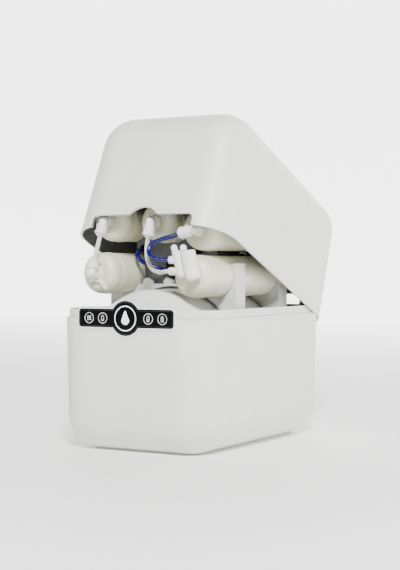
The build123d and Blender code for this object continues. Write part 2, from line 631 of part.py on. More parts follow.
def flow_restrictor():
    """The inline restrictor in the reject line, below the membrane's rear elbow."""
    x, height, _, rear = CARTRIDGES["membrane_cartridge"]
    top = at(x, rear + BOSS_LENGTH + STEM_LENGTH, height - RESTRICTOR_DROP)
    body = rod(top, (0, 0, -1), 6.5, 24)
    body += rod(top - Vector(0, 0, 7), (0, 0, -1), 8, 10)
    body -= rod(top, (0, 0, -1), SOCKET_RADIUS, 9)
    body -= rod(top - Vector(0, 0, 15), (0, 0, -1), SOCKET_RADIUS, 10)
    return body - rod(top, (0, 0, -1), 0.6, 24)


def tube(points):
    """A tube along straight runs joined by the largest tangent arcs that the runs allow."""
    route = [at(*point) for point in points]
    runs = [b - a for a, b in zip(route, route[1:])]
    radii = []
    for before, after in zip(runs, runs[1:]):
        turn = radians(before.get_angle(after))
        radii.append(0.45 * min(before.length, after.length) / tan(turn / 2))
    path = FilletPolyline(*route, radius=radii) if radii else Line(*route)
    wall = Circle(TUBE_RADIUS) - Circle(TUBE_BORE)
    solid = sweep(Plane(origin=route[0], z_dir=runs[0]) * wall, path=path)
    expected = pi * (TUBE_RADIUS**2 - TUBE_BORE**2) * path.length
    least = min(radii) if radii else 0
    ratio = solid.volume / expected
    print(f"tube length {path.length:.0f} mm, least radius {least:.1f}, volume ratio {ratio:.3f}")
    return solid


def boss_corner(name, end):
    """The elbow corner at a cartridge's front or rear: X, distance behind the front, height."""
    x, height, front, rear = CARTRIDGES[name]
    back = front - BOSS_LENGTH - STEM_LENGTH if end < 0 else rear + BOSS_LENGTH + STEM_LENGTH
    return x, back, height


def along(corner, outlet, distance):
    """A point on an elbow's outlet axis, in the same three numbers as its corner."""
    way = Vector(outlet).normalized() * distance
    return corner[0] + way.X, corner[1] + way.Y, corner[2] + way.Z


def between(start, end):
    """The step from one point to another."""
    return tuple(b - a for a, b in zip(start, end))


CARBON_FRONT = boss_corner("carbon_cartridge", -1)
SEDIMENT_FRONT = boss_corner("sediment_cartridge", -1)
BLOCK_FRONT = boss_corner("block_cartridge", -1)
POLISH_FRONT = boss_corner("polish_cartridge", -1)
SEDIMENT_REAR = boss_corner("sediment_cartridge", 1)
CARBON_REAR = boss_corner("carbon_cartridge", 1)
BLOCK_REAR = boss_corner("block_cartridge", 1)
POLISH_REAR = boss_corner("polish_cartridge", 1)
MEMBRANE_REAR = boss_corner("membrane_cartridge", 1)
LINK = between(CARBON_FRONT, SEDIMENT_FRONT)
FRONT_OUTLETS = {
    "carbon": (CARBON_FRONT, LINK),
    "sediment": (SEDIMENT_FRONT, tuple(-v for v in LINK)),
    "block": (BLOCK_FRONT, (-0.18, 0, -1)),
    "polish": (POLISH_FRONT, (-1, 0, -0.28)),
}
REAR_OUTLETS = {
    "carbon": (CARBON_REAR, (0.75, 0, -0.66)),
    "sediment": (SEDIMENT_REAR, (0, 0, -1)),
    "block": (BLOCK_REAR, (0, 0, -1)),
    "polish": (POLISH_REAR, (-0.5, 0, -0.87)),
    "membrane": (MEMBRANE_REAR, (0, 0, -1)),
}


def tubes():
    """Every internal tube by name, as a list of route points."""
    carbon_rear, carbon_way = REAR_OUTLETS["carbon"]
    polish_rear, polish_way = REAR_OUTLETS["polish"]
    block_front, block_way = FRONT_OUTLETS["block"]
    polish_front, polish_turn = FRONT_OUTLETS["polish"]
    port_x, port_back = LEFT_PORT[0], LEFT_PORT[1]
    low_socket, high_socket = SOCKET_HEIGHTS
    seat = PORT_FRONT + 11
    restrictor = MEMBRANE_REAR[2] - RESTRICTOR_DROP
    feed_x, feed_height, _ = FEED_HOLE
    tank_x, tank_height, _ = TANK_HOLE
    return {
        "link_tube": [along(CARBON_FRONT, LINK, TUBE_SEAT), along(SEDIMENT_FRONT, LINK, -TUBE_SEAT)],
        "block_tube": [
            along(block_front, block_way, TUBE_SEAT), along(block_front, block_way, 38), (-7, 67, 81),
            (6, 60, 68), (26, 49, 64), (41, port_back, low_socket), (port_x - 9, port_back, low_socket),
        ],
        "permeate_tube": [
            along(polish_front, polish_turn, TUBE_SEAT), along(polish_front, polish_turn, 36), (23, 59, 112),
            (5, 56, 106), (5, 50, 91), (20, 44, 84), (40, port_back, high_socket),
            (port_x - 9, port_back, high_socket),
        ],
        "feed_line_tube": [
            (-VALVE_PITCH, VALVE_FRONT + 2, VALVE_HEIGHT), (-VALVE_PITCH, 164, VALVE_HEIGHT),
            (-VALVE_PITCH, 140, 62), (-12, 118, 69), (-31, 106, 75), (-49, 105, 85), (-57, 120, 98),
            (feed_x, 150, feed_height + 1), (feed_x + 1, 230, feed_height - 1), (feed_x, 300, feed_height),
            (-53, 334, 103), along(carbon_rear, carbon_way, 36), along(carbon_rear, carbon_way, TUBE_SEAT),
        ],
        "valve_outlet_tube": [
            (0, VALVE_REAR - 2, VALVE_HEIGHT), (0, 250, VALVE_HEIGHT), (0, 276, 66), (1, 306, 72),
            (0, 336, 78),
            (BLOCK_REAR[0], BLOCK_REAR[1], 98), (BLOCK_REAR[0], BLOCK_REAR[1], BLOCK_REAR[2] - TUBE_SEAT),
        ],
        "feed_tube": [
            (SEDIMENT_REAR[0], SEDIMENT_REAR[1], SEDIMENT_REAR[2] - TUBE_SEAT),
            (SEDIMENT_REAR[0], SEDIMENT_REAR[1], 30), (-78, 322, 8), (-60, 340, -14),
            (-PORT_PITCH, 354, -PORT_DROP), (-PORT_PITCH, seat, -PORT_DROP),
        ],
        "faucet_tube": [
            along(polish_rear, polish_way, TUBE_SEAT), along(polish_rear, polish_way, 46), (36, 350, 62),
            (18, 348, 32), (6, 345, 4), (0, 349, -18), (0, 360, -PORT_DROP), (0, seat, -PORT_DROP),
        ],
        "reject_tube": [
            (MEMBRANE_REAR[0], MEMBRANE_REAR[1], MEMBRANE_REAR[2] - TUBE_SEAT),
            (MEMBRANE_REAR[0], MEMBRANE_REAR[1], restrictor - 8),
        ],
        "drain_tube": [
            (MEMBRANE_REAR[0], MEMBRANE_REAR[1], restrictor - 16), (MEMBRANE_REAR[0], MEMBRANE_REAR[1], -3),
            (72, 327, -20), (52, 348, -27), (PORT_PITCH, 362, -PORT_DROP), (PORT_PITCH, seat, -PORT_DROP),
        ],
        "tank_tube": [
            (20, TANK_REAR + 27, TANK_HEIGHT), (46, TANK_REAR + 27, TANK_HEIGHT), (72, 353, -62),
            (88, 346, -38), (87, 341, -8), (77, 338, 20), (62, 336, 48), (48, 328, 74), (38, 308, 91),
            (tank_x, 280, tank_height + 1), (tank_x, 204, tank_height), (36, 160, 93), (29, 148, 74),
            (17, 148, 58), (VALVE_PITCH, 167, VALVE_HEIGHT), (VALVE_PITCH, VALVE_FRONT + 2, VALVE_HEIGHT),
        ],
    }


def main():
    """Build and write every piece."""
    os.makedirs("parts", exist_ok=True)
    for piece in (
        lower_case, lid, lid_arms, hinge_brackets, pivot_pins, display_frame, display_lens, display_board,
        tank_shell, tank_bladder, tank_flange, air_valve, tank_valve, tank_valve_lever, tank_saddles,
        rack_tray, membrane_port_left, membrane_port_right, dc_inlet, shutoff_valve, flow_restrictor,
        rear_elbows, sediment_clip,
    ):
        keep(piece(), piece.__name__)
    for name, back in RIB_PLACES.items():
        keep(rack_rib(back), name)
    for name in CARTRIDGES:
        keep(cartridge(name), name)
        keep(cartridge_core(name), name.replace("cartridge", "core"))
    for name, (corner, outlet) in FRONT_OUTLETS.items():
        keep(elbow(at(*corner), (0, 1, 0), STEM_LENGTH, outlet), f"{name}_elbow")
        mouth = at(*along(corner, outlet, BARREL_LENGTH))
        keep(collet(mouth, outlet), f"{name}_collet")
    for name, x in zip(PORT_NAMES, port_places()):
        keep(rear_port(x), name)
        keep(collet(at(x, PORT_REAR, -PORT_DROP), (0, 1, 0)), f"{name}_collet")
    for name, points in tubes().items():
        keep(tube(points), name)


if __name__ == "__main__":
    main()
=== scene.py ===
"""A closed-case reverse osmosis unit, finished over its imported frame."""
import math

import bmesh
import bpy
from mathutils import Matrix, Vector


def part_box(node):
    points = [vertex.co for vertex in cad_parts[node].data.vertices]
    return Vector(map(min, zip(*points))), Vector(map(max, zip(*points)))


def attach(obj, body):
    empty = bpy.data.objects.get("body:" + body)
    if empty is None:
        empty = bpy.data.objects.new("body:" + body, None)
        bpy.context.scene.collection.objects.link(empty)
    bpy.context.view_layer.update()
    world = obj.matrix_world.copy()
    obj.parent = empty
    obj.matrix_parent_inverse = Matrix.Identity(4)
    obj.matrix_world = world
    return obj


bl_info = {
    "name": "Reverse Osmosis Unit",
    "version": (1, 0, 0),
    "blender": (4, 5, 0),
    "location": "View3D > Sidebar > Water Unit",
    "description": "Finishes a closed-case water unit, its cartridges, tank, display and tubes",
    "category": "Object",
}

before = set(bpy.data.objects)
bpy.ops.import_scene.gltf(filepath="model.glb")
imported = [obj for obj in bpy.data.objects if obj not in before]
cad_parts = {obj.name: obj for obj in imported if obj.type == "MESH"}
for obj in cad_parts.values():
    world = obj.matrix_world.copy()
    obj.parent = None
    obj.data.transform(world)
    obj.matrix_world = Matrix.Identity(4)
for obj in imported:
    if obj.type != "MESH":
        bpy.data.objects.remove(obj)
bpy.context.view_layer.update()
MM = 0.001
MERGE_DISTANCE = 0.001 * MM

CARTRIDGES = ("sediment", "carbon", "block", "polish", "membrane")
FRONT_ELBOWS = ("carbon", "sediment", "block", "polish")
PORTS = ("feed_port", "faucet_port", "drain_port")
OTHER_FITTINGS = (
    "membrane_port_left", "membrane_port_right", "rear_elbows", "shutoff_valve", "flow_restrictor",
    "tank_flange", "tank_valve", "sediment_clip",
)
WHITE_TUBES = ("link_tube", "block_tube", "reject_tube")

# Upper web of the ribs: half its length and half its thickness, each with a little to spare, and how far
# below the top of the rib it is drawn dark grey as painted shade.
WEB_HALF_LENGTH = 69.5 * MM
WEB_HALF_THICKNESS = 3.2 * MM
WEB_DEPTH = 75 * MM

# Print on the display window, measured from the window's middle.
PRINT_THICKNESS = 0.25 * MM
OUTLINE_INSET = 2.0 * MM
OUTLINE_WIDTH = 0.45 * MM
OUTLINE_CORNER = 3.2 * MM
WINDOW_HALF_BAR = 13.0 * MM
RING_WIDTH = 1.5 * MM
DROP_RADIUS = 6.5 * MM
DROP_BELOW = 2.5 * MM
DROP_STRETCH = 1.05
DROP_PINCH = 0.38
ICON_PLACES = (-61 * MM, -38 * MM, 38 * MM, 61 * MM)
ICON_RING_WIDTH = 0.8 * MM
GRID_STEP = 2.4 * MM
GRID_SQUARE = 1.5 * MM
SIGN_LINE = 0.7 * MM
SIGN_HALF_WIDTH = 1.9 * MM
SIGN_HALF_HEIGHT = 3.3 * MM
SIGN_LONG = 6.4 * MM
SIGN_WIDE = 4.4 * MM
SIGN_BELOW = 0.4 * MM
SIGN_BAND_STEP = 1.7 * MM
SIGN_FIRST_BAND = 2.2 * MM
SIGN_BAND = (2.0 * MM, 0.6 * MM)
SIGN_CAP_HEIGHT = 4.0 * MM
SIGN_CAP = (2.0 * MM, 0.9 * MM)

# Room round the unit, in metres: half the floor's width, its front edge, the bend up to the wall, and the
# wall's height.
FLOOR_HALF_WIDTH = 16
FLOOR_FRONT = -12
BEND_START = 4
BEND_RADIUS = 3
WALL_HEIGHT = 6
WORLD_STRENGTH = 0.17

# Name, place in metres, side in metres and power in watts of each softbox.
SOFTBOXES = (
    ("key_softbox", (1.5, -2.3, 2.3), 0.6, 225),
    ("left_softbox", (-1.9, -2.3, 1.2), 0.6, 26),
    ("right_softbox", (2.9, 0.2, 0.3), 0.6, 20),
)
LIGHTS_AIM = Vector((0, 0, 0.2))
CAMERA_AIM = Vector((4.2 * MM, 2.4 * MM, 236.5 * MM))
SENSOR_WIDTH = 36.0


def linear(hex_colour):
    """An sRGB hex colour as linear red, green, blue and alpha."""
    parts = [int(hex_colour[i:i + 2], 16) / 255 for i in (1, 3, 5)]
    return [c / 12.92 if c <= 0.04045 else ((c + 0.055) / 1.055) ** 2.4 for c in parts] + [1.0]


def low(name):
    """The corner of a node's box with the least coordinates."""
    return Vector(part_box(name)[0])


def high(name):
    """The corner of a node's box with the greatest coordinates."""
    return Vector(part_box(name)[1])


def middle(name):
    """The middle of a node's box."""
    return (low(name) + high(name)) / 2


# ------------------------------------------------------------------ materials


def add_node(tree, kind, links=(), inputs=(), **settings):
    """Adds a node, sets its properties and input values, and links (input, socket) pairs to it."""
    node = tree.nodes.new(kind)
    for key, value in settings.items():
        setattr(node, key, value)
    for key, value in dict(inputs).items():
        node.inputs[key].default_value = value
    for key, socket in dict(links).items():
        tree.links.new(socket, node.inputs[key])
    return node


def new_material(name, roughness, **values):
    """A material with a Principled shader, its tree, its shader and object coordinates."""
    material = bpy.data.materials.new(name)
    material.use_nodes = True
    tree = material.node_tree
    shader = tree.nodes["Principled BSDF"]
    shader.inputs["Roughness"].default_value = roughness
    for key, value in values.items():
        shader.inputs[key.replace("_", " ")].default_value = value
    coordinates = add_node(tree, "ShaderNodeTexCoord").outputs["Object"]
    return material, tree, shader, coordinates


def mottle(tree, coordinates, millimetres, dark, light):
    """A colour that drifts between two close shades over patches of the given size."""
    noise = add_node(
        tree, "ShaderNodeTexNoise", {"Vector": coordinates},
        {"Scale": 1 / (millimetres * MM), "Detail": 3.0},
    )
    ramp = add_node(tree, "ShaderNodeValToRGB", {"Fac": noise.outputs["Fac"]})
    ramp.color_ramp.elements[0].position = 0.3
    ramp.color_ramp.elements[1].position = 0.7
    ramp.color_ramp.elements[0].color = linear(dark)
    ramp.color_ramp.elements[1].color = linear(light)
    return ramp.outputs["Color"]


def grain(tree, shader, coordinates, millimetres, depth_mm, strength):
    """A fine bump from noise whose grains have the given width and depth.

    Tool grain and orange peel on such pieces are finer, so the widths given are as coarse as they need
    to be to show.
    """
    noise = add_node(
        tree, "ShaderNodeTexNoise", {"Vector": coordinates},
        {"Scale": 1 / (millimetres * MM), "Detail": 4.0},
    )
    bump = add_node(
        tree, "ShaderNodeBump", {"Height": noise.outputs["Fac"]},
        {"Strength": strength, "Distance": depth_mm * MM},
    )
    tree.links.new(bump.outputs["Normal"], shader.inputs["Normal"])


def uneven_gloss(tree, shader, coordinates, millimetres, least, most):
    """Roughness that drifts between two values, as handling and mould wear leave it."""
    noise = add_node(
        tree, "ShaderNodeTexNoise", {"Vector": coordinates}, {"Scale": 1 / (millimetres * MM)}
    )
    spread = add_node(
        tree, "ShaderNodeMapRange", {"Value": noise.outputs["Fac"]},
        {"From Min": 0.3, "From Max": 0.7, "To Min": least, "To Max": most},
    )
    tree.links.new(spread.outputs["Result"], shader.inputs["Roughness"])


def moulded_plastic(name, dark, light, roughness, grain_mm, depth_mm, strength, **values):
    """Injection-moulded plastic: a nearly even colour, a fine tool grain and slightly uneven gloss."""
    material, tree, shader, coordinates = new_material(name, roughness, **values)
    tree.links.new(mottle(tree, coordinates, 45, dark, light), shader.inputs["Base Color"])
    uneven_gloss(tree, shader, coordinates, 18, roughness - 0.05, roughness + 0.06)
    grain(tree, shader, coordinates, grain_mm, depth_mm, strength)
    return material


def abs_with_painted_inside_shade(name, choice, node):
    """Spark-eroded white ABS, with painted shade: faces inside the shell are drawn dark grey.

    The grain is about half a millimetre wide and is drawn at 1.1 mm. A face gets the painted shade where it
    looks towards the middle of its shell.
    """
    material, tree, shader, coordinates = new_material(name, 0.42, Specular_IOR_Level=0.45)
    outer = mottle(tree, coordinates, 45, choice.case_shade, choice.case_colour)
    # Painted shade: faces that look towards the middle of the shell are drawn in this dark grey, standing in
    # for the shade inside the case and lid.
    inner = mottle(tree, coordinates, 12, "#5C5D60", choice.painted_inside_shade_colour)
    from_middle = add_node(
        tree, "ShaderNodeVectorMath", {0: coordinates}, {1: middle(node)}, operation="SUBTRACT"
    )
    normal = add_node(tree, "ShaderNodeTexCoord").outputs["Normal"]
    looks_out = add_node(
        tree, "ShaderNodeVectorMath", {0: from_middle.outputs["Vector"], 1: normal},
        operation="DOT_PRODUCT",
    )
    painted_inside_shade_mask = add_node(
        tree, "ShaderNodeMath", {0: looks_out.outputs["Value"]}, {1: 0.0}, operation="LESS_THAN"
    )
    mix = add_node(
        tree, "ShaderNodeMix", {"Factor": painted_inside_shade_mask.outputs["Value"], 6: outer, 7: inner}, data_type="RGBA"
    )
    tree.links.new(mix.outputs[2], shader.inputs["Base Color"])
    uneven_gloss(tree, shader, coordinates, 18, 0.37, 0.48)
    grain(tree, shader, coordinates, 1.1, 0.12, 0.35)
    return material


def border_abs():
    """The smooth, brighter ABS of the display's border."""
    return moulded_plastic("polished_abs_border", "#DADAD6", "#E4E4E0", 0.3, 2.0, 0.03, 0.12)


def cartridge_polypropylene(choice):
    """Spin-welded polypropylene: creamy, a little translucent, with a soft gloss."""
    return moulded_plastic(
        "welded_polypropylene", "#D2D1B8", choice.cartridge_colour, 0.34, 3.0, 0.05, 0.25,
        Subsurface_Weight=0.12, Subsurface_Radius=(0.004, 0.0035, 0.0025),
    )


def fitting_acetal():
    """White acetal of push-in fittings: smooth and slightly waxy."""
    return moulded_plastic(
        "white_acetal", "#E2E2DA", "#ECECE5", 0.3, 2.2, 0.03, 0.2,
        Subsurface_Weight=0.08, Subsurface_Radius=(0.002, 0.002, 0.0015),
    )


def rack_polystyrene():
    """The rack's plain moulded polystyrene: duller and greyer than the case."""
    return moulded_plastic("moulded_polystyrene", "#C4C5C0", "#CFD0CB", 0.48, 1.8, 0.08, 0.3)


def rib_polystyrene_with_painted_shade(node):
    """The ribs' polystyrene, with painted shade: the thin upper web is drawn dark grey for the shade behind
    the white tube. The ribs' polystyrene, with its thin upper web dark grey. That is a guess: it may only
    be in shade.
    """
    material, tree, shader, coordinates = new_material(f"rib_polystyrene_with_painted_shade_{node}", 0.5)
    pale = mottle(tree, coordinates, 45, "#C4C5C0", "#CFD0CB")
    # Painted shade: the dark grey drawn on the upper web.
    grey = mottle(tree, coordinates, 12, "#505156", "#5E6064")
    from_web = add_node(
        tree, "ShaderNodeVectorMath", {0: coordinates},
        {1: (0, middle(node).y, high(node).z)}, operation="SUBTRACT",
    )
    sides = add_node(
        tree, "ShaderNodeVectorMath", {0: from_web.outputs["Vector"]},
        {1: (1 / WEB_HALF_LENGTH, 1 / WEB_HALF_THICKNESS, 1 / WEB_DEPTH)}, operation="MULTIPLY",
    )
    spread = add_node(tree, "ShaderNodeVectorMath", {0: sides.outputs["Vector"]}, operation="ABSOLUTE")
    axes = add_node(tree, "ShaderNodeSeparateXYZ", {"Vector": spread.outputs["Vector"]}).outputs
    across = add_node(tree, "ShaderNodeMath", {0: axes["X"], 1: axes["Y"]}, operation="MAXIMUM")
    farthest = add_node(
        tree, "ShaderNodeMath", {0: across.outputs["Value"], 1: axes["Z"]}, operation="MAXIMUM"
    )
    painted_web_shade_mask = add_node(
        tree, "ShaderNodeMath", {0: farthest.outputs["Value"]}, {1: 1.0}, operation="LESS_THAN"
    )
    mix = add_node(
        tree, "ShaderNodeMix", {"Factor": painted_web_shade_mask.outputs["Value"], 6: pale, 7: grey}, data_type="RGBA"
    )
    tree.links.new(mix.outputs[2], shader.inputs["Base Color"])
    uneven_gloss(tree, shader, coordinates, 18, 0.44, 0.54)
    grain(tree, shader, coordinates, 1.8, 0.08, 0.3)
    return material


def tank_enamel():
    """White enamelled tank: bright and glossy, with a faint orange peel."""
    material, tree, shader, coordinates = new_material(
        "tank_enamel", 0.2, Coat_Weight=0.3, Coat_Roughness=0.08
    )
    tree.links.new(mottle(tree, coordinates, 60, "#E1E2DC", "#E9EAE5"), shader.inputs["Base Color"])
    uneven_gloss(tree, shader, coordinates, 25, 0.16, 0.26)
    grain(tree, shader, coordinates, 4.0, 0.05, 0.3)
    return material


def extruded_tube(name, dark, light):
    """Extruded polyethylene tube: glossy, and very slightly uneven."""
    material, tree, shader, coordinates = new_material(
        name, 0.22, Subsurface_Weight=0.05, Subsurface_Radius=(0.001, 0.001, 0.002)
    )
    tree.links.new(mottle(tree, coordinates, 8, dark, light), shader.inputs["Base Color"])
    uneven_gloss(tree, shader, coordinates, 6, 0.18, 0.3)
    grain(tree, shader, coordinates, 1.4, 0.03, 0.2)
    return material


def black_acrylic():
    """Back-printed acrylic window: black and very glossy, its gloss drifting a little from place to place.
    """
    material, tree, shader, coordinates = new_material("black_acrylic", 0.08, Specular_IOR_Level=0.12)
    tree.links.new(mottle(tree, coordinates, 20, "#050506", "#08080A"), shader.inputs["Base Color"])
    uneven_gloss(tree, shader, coordinates, 12, 0.05, 0.12)
    return material


def printed_light(name, colour, strength):
    """Translucent print lit from behind, faintly uneven as light guides are."""
    material, tree, shader, coordinates = new_material(name, 0.35, Emission_Strength=strength)
    shade = mottle(tree, coordinates, 6, colour, "#F4F7F8")
    tree.links.new(shade, shader.inputs["Base Color"])
    tree.links.new(shade, shader.inputs["Emission Color"])
    return material


def butyl_rubber():
    """Moulded black rubber: dull, with a talc bloom."""
    return moulded_plastic("butyl_rubber", "#141414", "#242423", 0.75, 1.5, 0.1, 0.5)


def filter_medium():
    """Wound fibre of the filter cores, in turns about 2 mm apart."""
    material, tree, shader, coordinates = new_material("wound_fibre", 0.9)
    wave = add_node(
        tree, "ShaderNodeTexWave", {"Vector": coordinates}, {"Scale": 1 / (4 * MM), "Distortion": 2.0},
        bands_direction="Y",
    )
    bump = add_node(
        tree, "ShaderNodeBump", {"Height": wave.outputs["Fac"]}, {"Strength": 0.6, "Distance": 0.4 * MM}
    )
    tree.links.new(bump.outputs["Normal"], shader.inputs["Normal"])
    tree.links.new(mottle(tree, coordinates, 5, "#B9B6A8", "#D2CFC2"), shader.inputs["Base Color"])
    return material


def turned_steel():
    """Turned stainless pins with a fine grain of tool marks."""
    material, tree, shader, coordinates = new_material("turned_steel", 0.3, Metallic=1.0)
    tree.links.new(mottle(tree, coordinates, 3, "#A8A9AA", "#C3C4C5"), shader.inputs["Base Color"])
    grain(tree, shader, coordinates, 0.8, 0.02, 0.3)
    return material


def solder_mask():
    """Green solder mask over copper tracks."""
    return moulded_plastic("solder_mask", "#0F3D22", "#17502E", 0.35, 3.0, 0.05, 0.4)


def lever_nylon():
    """Blue nylon of the tank valve's lever."""
    return moulded_plastic("blue_nylon", "#1E3A78", "#27478C", 0.4, 1.5, 0.06, 0.3)


def paint(material, *names):
    """Gives a material to CAD nodes, by name."""
    for name in names:
        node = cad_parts[name]
        if not node.material_slots:
            node.data.materials.append(None)
        for place in node.material_slots:
            place.material = material


# ------------------------------------------------------------------ mesh helpers


def finish_print(mesh, name, material):
    """Turns a bmesh into a named piece of print that rides on the case."""
    bmesh.ops.remove_doubles(mesh, verts=mesh.verts, dist=MERGE_DISTANCE)
    bmesh.ops.recalc_face_normals(mesh, faces=mesh.faces)
    data = bpy.data.meshes.new(name)
    mesh.to_mesh(data)
    mesh.free()
    piece = bpy.data.objects.new(name, data)
    bpy.context.scene.collection.objects.link(piece)
    data.materials.append(material)
    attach(piece, "case")


def ring_strip(mesh, centre, radius, width, start=0.0, sweep=math.tau, steps=48):
    """A flat ring or arc facing -Y, from a rectangle spun about the Y axis through its centre."""
    x0, x1 = radius - width / 2, radius + width / 2
    turn = Matrix.Rotation(-start, 4, "Y")
    corners = ((x0, 0, 0), (x1, 0, 0), (x1, PRINT_THICKNESS, 0), (x0, PRINT_THICKNESS, 0))
    verts = [mesh.verts.new(centre + turn @ Vector(corner)) for corner in corners]
    face = mesh.faces.new(verts)
    whole = sweep == math.tau
    if whole:
        bmesh.ops.delete(mesh, geom=[face], context="FACES_ONLY")
    edges = [edge for edge in mesh.edges if all(vert in verts for vert in edge.verts)]
    geometry = verts + edges if whole else [face] + verts + edges
    bmesh.ops.spin(
        mesh, geom=geometry, cent=centre, axis=(0, -1, 0), angle=sweep, steps=steps, use_merge=whole
    )


# ------------------------------------------------------------------ settings


class WaterUnitSettings(bpy.types.PropertyGroup):
    """Colours of the unit, sizes of the display's rings, and where the camera stands."""

    case_colour: bpy.props.StringProperty(
        name="Case colour", description="Lighter shade of the case and lid, as sRGB hex",
        default="#E0E1D8",
    )
    case_shade: bpy.props.StringProperty(
        name="Case shade", description="Darker shade of the case and lid, as sRGB hex",
        default="#DADBD2",
    )
    # Painted shade: the lighter of the two dark greys drawn on the inside faces of the case and lid.
    painted_inside_shade_colour: bpy.props.StringProperty(
        name="Inner layer colour", description="Lighter shade of the case's inner layer, as sRGB hex",
        default="#6A6B6E",
    )
    cartridge_colour: bpy.props.StringProperty(
        name="Cartridge colour", description="Lighter shade of the cartridges, as sRGB hex",
        default="#DDDCC4",
    )
    blue_colour: bpy.props.StringProperty(
        name="Blue tube colour", description="Lighter shade of the blue tubes, as sRGB hex",
        default="#0D0864",
    )
    ring_radius: bpy.props.FloatProperty(
        name="Light ring radius", description="Middle radius of the display's large ring",
        default=17.3 * MM, unit="LENGTH",
    )
    icon_radius: bpy.props.FloatProperty(
        name="Icon ring radius", description="Middle radius of the four small rings",
        default=7.3 * MM, unit="LENGTH",
    )
    azimuth: bpy.props.FloatProperty(
        name="Camera azimuth", description="Angle of the view to the right of the front",
        default=math.radians(30.0), subtype="ANGLE",
    )
    elevation: bpy.props.FloatProperty(
        name="Camera elevation", description="Angle of the view above level",
        default=math.radians(0.8), subtype="ANGLE",
    )
    distance: bpy.props.FloatProperty(
        name="Camera distance", description="From the camera to the point it looks at",
        default=2.05, unit="LENGTH",
    )
    lens: bpy.props.FloatProperty(
        name="Camera lens", description="Focal length in millimetres on a 36 mm sensor", default=84.7
    )


def settings():
    """The settings held by the scene."""
    return bpy.context.scene.water_unit


# ------------------------------------------------------------------ operators


class WATER_OT_case(bpy.types.Operator):
    """Finish the case, lid, arms and hinge"""

    bl_idname = "water.case"
    bl_label = "Case and Lid"

    def execute(self, context):
        for name in ("lower_case", "lid"):
            # The inside faces of the case and lid get painted shade.
            paint(abs_with_painted_inside_shade(f"abs_with_painted_inside_shade_{name}", settings(), name), name)
        paint(rack_polystyrene(), "lid_arms", "hinge_brackets")
        paint(turned_steel(), "pivot_pins")
        return {"FINISHED"}


